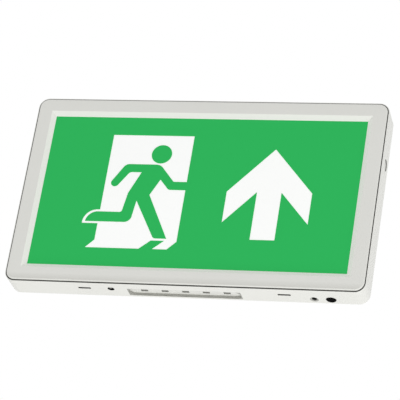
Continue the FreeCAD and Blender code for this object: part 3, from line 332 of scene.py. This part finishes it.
# painted shade on the walls of the housing's hollows and in its joint, and a black bezel colour in the bores of
# the charge lamp and the sensor; where two meet, the later one shows
def housingShadeAndBezels(finish):
    low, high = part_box("downlight_board")
    middle = (low[1] + high[1]) / 2
    roof = low[2] - housing["recessRoof"]
    sideways = finish.along("X").join("ABSOLUTE")

    recessTall = (roof - bottomZ) / 2 - housing["recessClear"]
    wall = finish.inside((0, middle, (bottomZ + roof) / 2), housing["recessHalf"] + (recessTall,))
    port = finish.inside((0, middle, low[2] - housing["portHalf"][2]), housing["portHalf"])

    long, deep, tall = housing["slotHalf"]
    slots = finish.inside((0, housing["slotY"], bottomZ + housing["slotUp"]), (0, deep, tall))
    slots = slots * sideways.awayFrom(housing["slotX"]).below(long)

    away, up = finish.along("Y") - housing["knockY"], finish.along("Z") - housing["knockZ"]
    least, most = housing["knockInner"] ** 2, housing["knockOuter"] ** 2
    ring = (away * away + up * up).awayFrom((least + most) / 2).below((most - least) / 2)
    knock = ring * sideways.awayFrom(housing["knockX"]).below(housing["knockHalf"])

    def hole(node, radius, mouth, end):
        x, y = middleOf(node)[:2]
        return finish.insideHole(x, y, radius, bottomZ + mouth, bottomZ + end)

    return [
        (knock, housing["knockShade"]), jointShade(finish), (wall, housing["recessShade"]),
        (port, housing["portShade"]), (slots, housing["slotShade"]),
        (hole("charge_led", housing["sinkRadius"], housing["sinkMouth"], housing["sinkEnd"]), housing["sinkShade"]),
        (hole("charge_led", housing["boreRadius"], 0, housing["boreEnd"]), moulding["bezel"]),
        (hole("sensor_collar", housing["collarRadius"], 0, housing["collarEnd"]), moulding["bezel"]),
    ]


sensor = {"lensOff": 0.0005, "lensRadius": 0.0012, "farBelow": 1}


# a smoked disc round a small pale lens
def sensorMarks(finish):
    low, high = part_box("sensor_window")
    x, y = middleOf("sensor_window")[:2]
    lens = finish.insideHole(x - sensor["lensOff"], y - sensor["lensOff"], sensor["lensRadius"],
                             low[2] - sensor["farBelow"], high[2])
    return [(1 - lens, moulding["bezel"])]


legend = {"green": (45, 179, 90), "white": (252, 253, 252), "greenGlow": 0.17, "whiteGlow": 0.16}

# after the name: colour, roughness, and for plastics the grain and its depth
finishes = {
    "front_cover": mouldedPlastic("coverPlastic", cover["color"], moulding["rough"], moulding["grain"],
                                  marksAndShade=coverLightAndShade),
    "rear_housing": mouldedPlastic("housingPlastic", housing["color"], moulding["rough"], moulding["grain"],
                                   marksAndShade=housingShadeAndBezels),
    "legend_film": litPrint("legendGreen", legend["green"], legend["greenGlow"]),
    "opal_panel": litPrint("opalSheet", legend["white"], legend["whiteGlow"], 0.5),
    "cover_clips": sheetMetal("springSteel", (74, 75, 77), 0.4),
    "guide_clips": sheetMetal("clipSteel", (176, 176, 172), 0.32),
    "gear_tray": mouldedPlastic("trayPaint", (240, 240, 238), 0.35, 1400, 0.00003),
    "light_guide": dottedAcrylic("dottedAcrylic"),
    "reflector_sheet": mouldedPlastic("reflectorFilm", (250, 250, 250), 0.6, 900, 0.00001),
    "downlight_board": mouldedPlastic("downlightMask", (170, 170, 165), 0.4, 500, 0.00001),
    "downlight_leds": mouldedPlastic("frostedLens", (190, 190, 180), 0.3, 900, 0.00001),
    "led_strip_top": mouldedPlastic("stripMask", (240, 240, 236), 0.4, 500, 0.00001),
    "strip_leds_top": mouldedPlastic("phosphor", (246, 232, 150), 0.3, 900, 0.00001),
    "sensor_collar": mouldedPlastic("collarRubber", (6, 6, 6), 0.7, 1800, 0.00003, specular=0.02),
    "sensor_window": mouldedPlastic("sensorLens", (200, 200, 194), 0.3, 900, 0.000005, specular=0.05,
                                    marksAndShade=sensorMarks),
    "test_button": mouldedPlastic("buttonPlastic", (5, 5, 5), 0.55, 2600, 0.00001, specular=0.02),
    "charge_led": mouldedPlastic("smokedLens", (5, 7, 5), 0.3, 900, 0.000002, specular=0.03),
    "cable_grommet": mouldedPlastic("grommetRubber", (22, 22, 22), 0.75, 1500, 0.00004),
    "tray_screws": sheetMetal("zincPlate", (190, 190, 186), 0.3),
    "driver_board": circuitBoard("greenMask", (18, 92, 48)),
    "terminal_block": mouldedPlastic("terminalPlastic", (214, 214, 208), 0.4, 1200),
    "battery_pack": mouldedPlastic("batteryWrap", (22, 60, 120), 0.25, 700, 0.00001),
    "transformer": mouldedPlastic("coilTape", (206, 168, 40), 0.4, 900),
    "capacitors": mouldedPlastic("canSleeve", (24, 26, 44), 0.25, 700, 0.00001),
    "choke": mouldedPlastic("ferrite", (46, 46, 48), 0.55, 1500, 0.00003),
    "fuse": mouldedPlastic("ceramic", (222, 212, 190), 0.25, 900, 0.00001),
    "board_sockets": mouldedPlastic("nylon", (232, 228, 212), 0.4, 1200),
    "board_chips": mouldedPlastic("epoxy", (30, 30, 32), 0.5, 2400),
}
sameFinish = {
    "led_strip_bottom": "led_strip_top", "strip_leds_bottom": "strip_leds_top",
    "switch_board": "driver_board", "switch_board_screws": "tray_screws",
    "driver_board_screws": "tray_screws", "terminal_screws": "tray_screws", "tact_switch": "board_chips",
    "switch_plunger": "test_button",
}
for node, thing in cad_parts.items():
    thing.data.materials.clear()
    thing.data.materials.append(finishes[sameFinish.get(node, node)])
print("finishes on every node")


# a tree of geometry nodes with named sizes
class Growth(Web):
    def __init__(self, name, sizes):
        super().__init__(bpy.data.node_groups.new(name, "GeometryNodeTree"))
        self.tree.interface.new_socket("Geometry", in_out="INPUT", socket_type="NodeSocketGeometry")
        self.tree.interface.new_socket("Geometry", in_out="OUTPUT", socket_type="NodeSocketGeometry")
        for label, value in sizes.items():
            socket = self.tree.interface.new_socket(label, in_out="INPUT", socket_type="NodeSocketFloat")
            socket.default_value = value
        self.entry = self.tree.nodes.new("NodeGroupInput")

    def size(self, label):
        return Link(self, self.entry.outputs[label])

    def vector(self, x, y, z):
        return self.add("ShaderNodeCombineXYZ", {}, {0: x, 1: y, 2: z})

    def moved(self, shape, x, y, z):
        return self.add("GeometryNodeTransform", {}, {"Geometry": shape, "Translation": self.vector(x, y, z)})

    def block(self, long, wide, high, x, y, z):
        cube = self.add("GeometryNodeMeshCube", {}, {"Size": self.vector(long, wide, high)})
        return self.moved(cube, x, y, z)

    def painted(self, shape, material):
        return self.add("GeometryNodeSetMaterial", {}, {"Geometry": shape, "Material": material})

    def together(self, shapes):
        return self.add("GeometryNodeJoinGeometry", {}, {"Geometry": shapes})

    # one copy at each point of the input, tilted and spun, as the tree's result
    def scatter(self, shape, tilt, spin, material=None):
        rotation = self.add("FunctionNodeEulerToRotation", {}, {"Euler": self.vector(tilt, spin, 0.0)})
        copies = self.add("GeometryNodeInstanceOnPoints", {},
                          {"Points": self.size("Geometry"), "Instance": shape, "Rotation": rotation})
        result = self.add("GeometryNodeRealizeInstances", {}, {"Geometry": copies})
        if material:
            result = self.painted(result, material)
        ending = self.tree.nodes.new("NodeGroupOutput")
        self.tree.links.new(result.socket, ending.inputs["Geometry"])

    # the plain mesh that the tree makes at some points
    def grow(self, points, sizes):
        seeds = bpy.data.meshes.new("seeds")
        seeds.from_pydata(points, [], [])
        holder = bpy.data.objects.new("seeds", seeds)
        bpy.context.collection.objects.link(holder)
        modifier = holder.modifiers.new("growth", "NODES")
        modifier.node_group = self.tree
        for item in self.tree.interface.items_tree:
            if item.in_out == "INPUT" and item.name in sizes:
                modifier[item.identifier] = sizes[item.name]
        shaped = holder.evaluated_get(bpy.context.evaluated_depsgraph_get())
        mesh = bpy.data.meshes.new_from_object(shaped)
        bpy.data.objects.remove(holder)
        return mesh


# an editable copy of a node's mesh, its loose triangles joined at their corners
def mergedCopy(node, gap=1e-6):
    web = bmesh.new()
    web.from_mesh(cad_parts[node].data)
    bmesh.ops.remove_doubles(web, verts=web.verts, dist=gap)
    return web


def asMesh(web, name, node):
    mesh = bpy.data.meshes.new(name)
    web.to_mesh(mesh)
    web.free()
    mesh.materials.append(finishes[node])
    return mesh


# the separate solids of a node, each as its lowest and highest corner
def solidsOf(node):
    web = mergedCopy(node)
    left = set(web.verts)
    boxes = []
    while left:
        reached = [left.pop()]
        for vert in reached:
            fresh = {edge.other_vert(vert) for edge in vert.link_edges} & left
            left -= fresh
            reached.extend(fresh)
        places = [vert.co for vert in reached]
        boxes.append((Vector(map(min, zip(*places))), Vector(map(max, zip(*places)))))
    web.free()
    return sorted(boxes, key=lambda box: tuple(box[0]))


# one or more meshes as one piece that stands for CAD nodes; a crease angle rounds the shading up to it
def makePiece(name, meshes, nodes, body="housing", crease=None):
    web = bmesh.new()
    for mesh in meshes:
        web.from_mesh(mesh)
    mesh = bpy.data.meshes.new(name)
    web.to_mesh(mesh)
    if crease:
        mesh.shade_smooth()
        mesh.set_sharp_from_angle(angle=crease)
    print(name, "has", len(mesh.polygons), "faces and volume", round(web.calc_volume(signed=True) * 1e9, 1), "mm3")
    web.free()
    for material in meshes[0].materials:
        mesh.materials.append(material)
    piece = bpy.data.objects.new(name, mesh)
    bpy.context.collection.objects.link(piece)
    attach(piece, body)
    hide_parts(*nodes)


# how far a point lies inside the rounded outline, and the way outwards from there
def fromOutline(spot):
    past = [abs(spot[axis]) - (cadHigh[axis] - moulding["corner"]) for axis in (0, 2)]
    signs = [1 if spot[axis] > 0 else -1 for axis in (0, 2)]
    outwards = Vector((max(past[0], 0) * signs[0], 0, max(past[1], 0) * signs[1]))
    return moulding["corner"] - outwards.length, outwards.normalized()


# the cover with its plate drawn in a little from the housing's rim
def makeLid():
    web = mergedCopy("front_cover")
    for vert in web.verts:
        inside, outwards = fromOutline(vert.co)
        if inside < lid["rim"]:
            vert.co -= outwards * (lid["inset"] if vert.co.y < coverBack - lid["skin"] else lid["shoulder"])
    mesh = asMesh(web, "coverLid", "front_cover")
    makePiece("coverLid", [mesh], ["front_cover"], "cover", crease=0.5)


# a ring of points, a given distance inside the rounded outline
def outlineRing(inset, y):
    across = cadHigh[0] - moulding["corner"]
    up = cadHigh[2] - moulding["corner"]
    reach = moulding["corner"] - inset
    ring = []
    for corner in range(4):
        centre = (across if corner in (0, 3) else -across, up if corner < 2 else -up)
        for step in range(lip["steps"] + 1):
            turn = (corner + step / lip["steps"]) * math.pi / 2
            ring.append((centre[0] + reach * math.cos(turn), y, centre[1] + reach * math.sin(turn)))
    return ring


# the housing's thin lip, which stands round the lid with a shadow gap between them
def makeLip():
    foot = housingFront + lip["sunk"]
    front = foot - lip["sunk"] - lip["proud"]
    soft = lip["round"] * lip["roundShare"]
    rows = [(lip["draft"], foot), (0.0, front + lip["round"]), (soft, front + soft),
            (lip["round"], front), (lip["wide"], front), (lip["wide"], foot)]
    web = bmesh.new()
    rings = [[web.verts.new(spot) for spot in outlineRing(*row)] for row in rows]
    for first, second in zip(rings, rings[1:] + rings[:1]):
        for index in range(len(first)):
            after = (index + 1) % len(first)
            web.faces.new((first[index], first[after], second[after], second[index]))
    bmesh.ops.recalc_face_normals(web, faces=web.faces)
    mesh = asMesh(web, "housingLip", "rear_housing")
    makePiece("housingLip", [mesh], [], crease=0.5)


makeLid()
makeLip()
print("lid and lip drawn")

screws = {
    "headTall": 0.0021, "crown": 0.55, "rows": 11, "around": 33, "joinGap": 0.0000005,
    "shankShare": 0.55, "shankSides": 16, "crispAngle": 0.6, "seed": 7,
    "crossLong": 0.62, "crossWide": 0.13, "crossDeep": 0.0013, "slotLong": 1.3, "slotNone": 0.1,
}


# a pan head with a cross or a slot in it, on a plain shank
def screwGrowth():
    grown = Growth("panScrew", {"Head Width": 0.0056, "Head Tall": 0.002, "Length": 0.01, "Slot Long": 0.0035,
                                "Cross Long": 0.0035, "Slot Wide": 0.0007, "Slot Deep": 0.0012})
    # a sheet is rolled into a dome; its last row but one is the rim, and its last row closes the underside
    sheet = grown.add("GeometryNodeMeshGrid", {}, {
        "Size X": 1.0, "Size Y": 1.0, "Vertices X": screws["rows"], "Vertices Y": screws["around"]})
    spaces = screws["rows"] - 1
    spot = grown.add("GeometryNodeInputPosition", {}, {})
    part = [grown.add("ShaderNodeSeparateXYZ", {}, {0: spot}, index) for index in (0, 1)]
    along = (part[0] + 0.5) * (math.pi / 2 / ((spaces - 1) / spaces))
    radius = grown.size("Head Width") * 0.5
    top = grown.size("Head Tall")
    flat = along.join("SINE").join("MAXIMUM").join("POWER", screws["crown"])
    rise = along.join("COSINE").join("MAXIMUM").join("POWER", screws["crown"])
    dome = part[0].below(0.5 - 0.5 / spaces)
    reach = radius * flat * dome
    turn = part[1] * (2 * math.pi)
    place = grown.vector(reach * turn.join("COSINE"), reach * turn.join("SINE"), top * rise * dome)
    head = grown.add("GeometryNodeSetPosition", {}, {"Geometry": sheet, "Position": place})
    head = grown.add("GeometryNodeMergeByDistance", {}, {"Geometry": head, "Distance": screws["joinGap"]})

    cutDeep = grown.size("Slot Deep") * 2
    thin = grown.size("Slot Wide")
    cuts = [grown.block(grown.size("Slot Long"), thin, cutDeep, 0.0, 0.0, top),
            grown.block(thin, grown.size("Cross Long"), cutDeep, 0.0, 0.0, top)]
    head = grown.add("GeometryNodeMeshBoolean", {"operation": "DIFFERENCE"}, {"Mesh 1": head, "Mesh 2": cuts})

    shankLong = grown.size("Length") - top
    shank = grown.add("GeometryNodeMeshCylinder", {}, {
        "Vertices": screws["shankSides"], "Radius": radius * screws["shankShare"], "Depth": shankLong})
    shank = grown.moved(shank, 0.0, 0.0, shankLong * -0.5)

    angle = grown.add("GeometryNodeInputMeshEdgeAngle", {}, {})
    whole = grown.together([head, shank])
    smooth = grown.add("GeometryNodeSetShadeSmooth", {"domain": "FACE"}, {"Geometry": whole})
    crisp = grown.add("GeometryNodeSetShadeSmooth", {"domain": "EDGE"}, {
        "Geometry": smooth, "Selection": angle.join("GREATER_THAN", screws["crispAngle"]), "Shade Smooth": False})
    spin = grown.add("FunctionNodeRandomValue", {"data_type": "FLOAT"},
                     {2: 0.0, 3: math.pi, "Seed": screws["seed"]}, 1)   # from no turn to half a turn
    grown.scatter(crisp, math.pi / 2, spin, finishes["tray_screws"])
    return grown


# one screw for each solid of a node, sized by the first
def growScrews(growth, node, slotted=False):
    boxes = solidsOf(node)
    low, high = boxes[0]
    width = high[0] - low[0]
    sizes = {
        "Head Width": width, "Head Tall": screws["headTall"], "Length": high[1] - low[1],
        "Slot Long": width * screws["slotLong" if slotted else "crossLong"],
        "Cross Long": width * screws["slotNone" if slotted else "crossLong"],
        "Slot Wide": width * screws["crossWide"], "Slot Deep": screws["crossDeep"],
    }
    seats = [((low[0] + high[0]) / 2, low[1] + screws["headTall"], (low[2] + high[2]) / 2) for low, high in boxes]
    return growth.grow(seats, sizes)


panScrew = screwGrowth()
crossed = ["tray_screws", "driver_board_screws", "switch_board_screws"]
makePiece("crossScrews", [growScrews(panScrew, node) for node in crossed], crossed)
makePiece("clampScrews", [growScrews(panScrew, "terminal_screws", True)], ["terminal_screws"])

lamps = {
    "caseLong": 0.98, "caseWide": 0.96, "phosphor": 0.72, "lensTall": 0.00008,
    "padLong": 0.18, "padOut": 0.41, "padTall": 0.0001,
}


# a white package with its phosphor window and two solder pads
def lampGrowth():
    grown = Growth("stripLamp", {"Long": 0.003, "Wide": 0.002, "Tall": 0.0008, "Tilt": 0.0})
    long, wide, tall = grown.size("Long"), grown.size("Wide"), grown.size("Tall")
    lens, pad = lamps["lensTall"], lamps["padTall"]
    case = grown.block(long * lamps["caseLong"], wide * lamps["caseWide"], tall - lens,
                       0.0, 0.0, tall * 0.5 - lens / 2)
    glow = grown.block(long * lamps["phosphor"], wide * lamps["phosphor"], lens * 2, 0.0, 0.0, tall - lens)
    pads = [grown.block(long * lamps["padLong"], wide, pad, long * (side * lamps["padOut"]), 0.0, pad / 2)
            for side in (-1, 1)]
    shapes = [grown.painted(case, finishes["board_sockets"]), grown.painted(glow, finishes["strip_leds_top"]),
              grown.painted(grown.together(pads), finishes["tray_screws"])]
    grown.scatter(grown.together(shapes), grown.size("Tilt"), 0.0)
    return grown


# one lamp for each solid of a strip; the top strip's hang down from their board
def growLamps(growth, node, hanging):
    boxes = solidsOf(node)
    low, high = boxes[0]
    foot = high[2] if hanging else low[2]
    sizes = {"Long": high[0] - low[0], "Wide": high[1] - low[1], "Tall": high[2] - low[2],
             "Tilt": math.pi if hanging else 0.0}
    return growth.grow([((low[0] + high[0]) / 2, (low[1] + high[1]) / 2, foot) for low, high in boxes], sizes)


stripLamp = lampGrowth()
strips = ["strip_leds_top", "strip_leds_bottom"]
makePiece("stripLamps", [growLamps(stripLamp, node, node == strips[0]) for node in strips], strips)
print("small repeated pieces grown")

stage = {
    "floorDrop": 2.7, "floorSize": 30.0, "floorColor": (245, 245, 244), "floorRough": 0.9, "floorWhite": 0.85,
    "ambient": 0.73, "lampFrom": (0.38, -0.36, -0.84), "lampAway": 2.2, "lampSize": 1.5, "lampGain": 0.36,
}
camera = {
    "place": (0.6427, -2.0436, -1.0982), "right": (0.963, 0.2238, 0.1499), "forward": (-0.2682, 0.8477, 0.4578),
    "lens": 234.7, "sensor": 36, "farthest": 60,
}


# a wide pale sheet under the sign, lifted towards white where the camera sees it
def makeFloor():
    half = stage["floorSize"] / 2
    z = -stage["floorDrop"]
    mesh = bpy.data.meshes.new("floor")
    mesh.from_pydata([(-half, -half, z), (half, -half, z), (half, half, z), (-half, half, z)], [], [(0, 1, 2, 3)])
    floor = bpy.data.objects.new("floor", mesh)
    bpy.context.collection.objects.link(floor)
    paint = Finish("floorPaint", stage["floorColor"], {"Roughness": stage["floorRough"]})
    seen = paint.add("ShaderNodeLightPath", {}, {}, "Is Camera Ray") * stage["floorWhite"]
    glow = paint.add("ShaderNodeEmission", {}, {})
    paint.show(paint.add("ShaderNodeMixShader", {}, {0: seen, 1: paint.own("Principled BSDF"), 2: glow}),
               "Material Output")
    mesh.materials.append(paint.material)


# plain light all round, seen as white behind the sign and in its gloss
def makeWorld():
    world = bpy.data.worlds.new("studio")
    bpy.context.scene.world = world
    world.use_nodes = True
    sky = Web(world.node_tree)
    white = (1, 1, 1, 1)
    plain = sky.tree.nodes["Background"]
    plain.inputs["Color"].default_value = white
    plain.inputs["Strength"].default_value = stage["ambient"]
    rays = [sky.add("ShaderNodeLightPath", {}, {}, "Is " + ray + " Ray")
            for ray in ("Camera", "Glossy", "Transmission")]
    seen = rays[0].join("MAXIMUM", rays[1]).join("MAXIMUM", rays[2])
    bright = sky.add("ShaderNodeBackground", {}, {"Color": white})
    sky.show(sky.add("ShaderNodeMixShader", {}, {0: seen, 1: sky.own("Background"), 2: bright}), "World Output")


# one broad lamp, low and to the right
def makeLamp():
    data = bpy.data.lights.new("broadLamp", "AREA")
    lamp = bpy.data.objects.new("broadLamp", data)
    bpy.context.collection.objects.link(lamp)
    aim = Vector(stage["lampFrom"]).normalized()
    facing = aim.to_track_quat("Z", "Y").to_matrix().to_4x4()
    lamp.matrix_world = Matrix.Translation(aim * stage["lampAway"]) @ facing
    data.shape = "SQUARE"
    data.size = stage["lampSize"]
    data.energy = stage["lampGain"] * (math.pi * stage["lampAway"]) ** 2
    lamp.visible_camera = False


def makeCamera():
    data = bpy.data.cameras.new("camera")
    eye = bpy.data.objects.new("camera", data)
    bpy.context.collection.objects.link(eye)
    forward = Vector(camera["forward"]).normalized()
    right = Vector(camera["right"])
    right = (right - forward * right.dot(forward)).normalized()
    turn = Matrix((right, right.cross(forward), -forward)).transposed().to_4x4()
    eye.matrix_world = Matrix.Translation(camera["place"]) @ turn
    data.sensor_width = camera["sensor"]
    data.lens = camera["lens"]
    data.clip_end = camera["farthest"]
    bpy.context.scene.camera = eye


makeFloor()
makeWorld()
makeLamp()
makeCamera()
bpy.context.scene.view_settings.view_transform = "Standard"
print("stage ready")
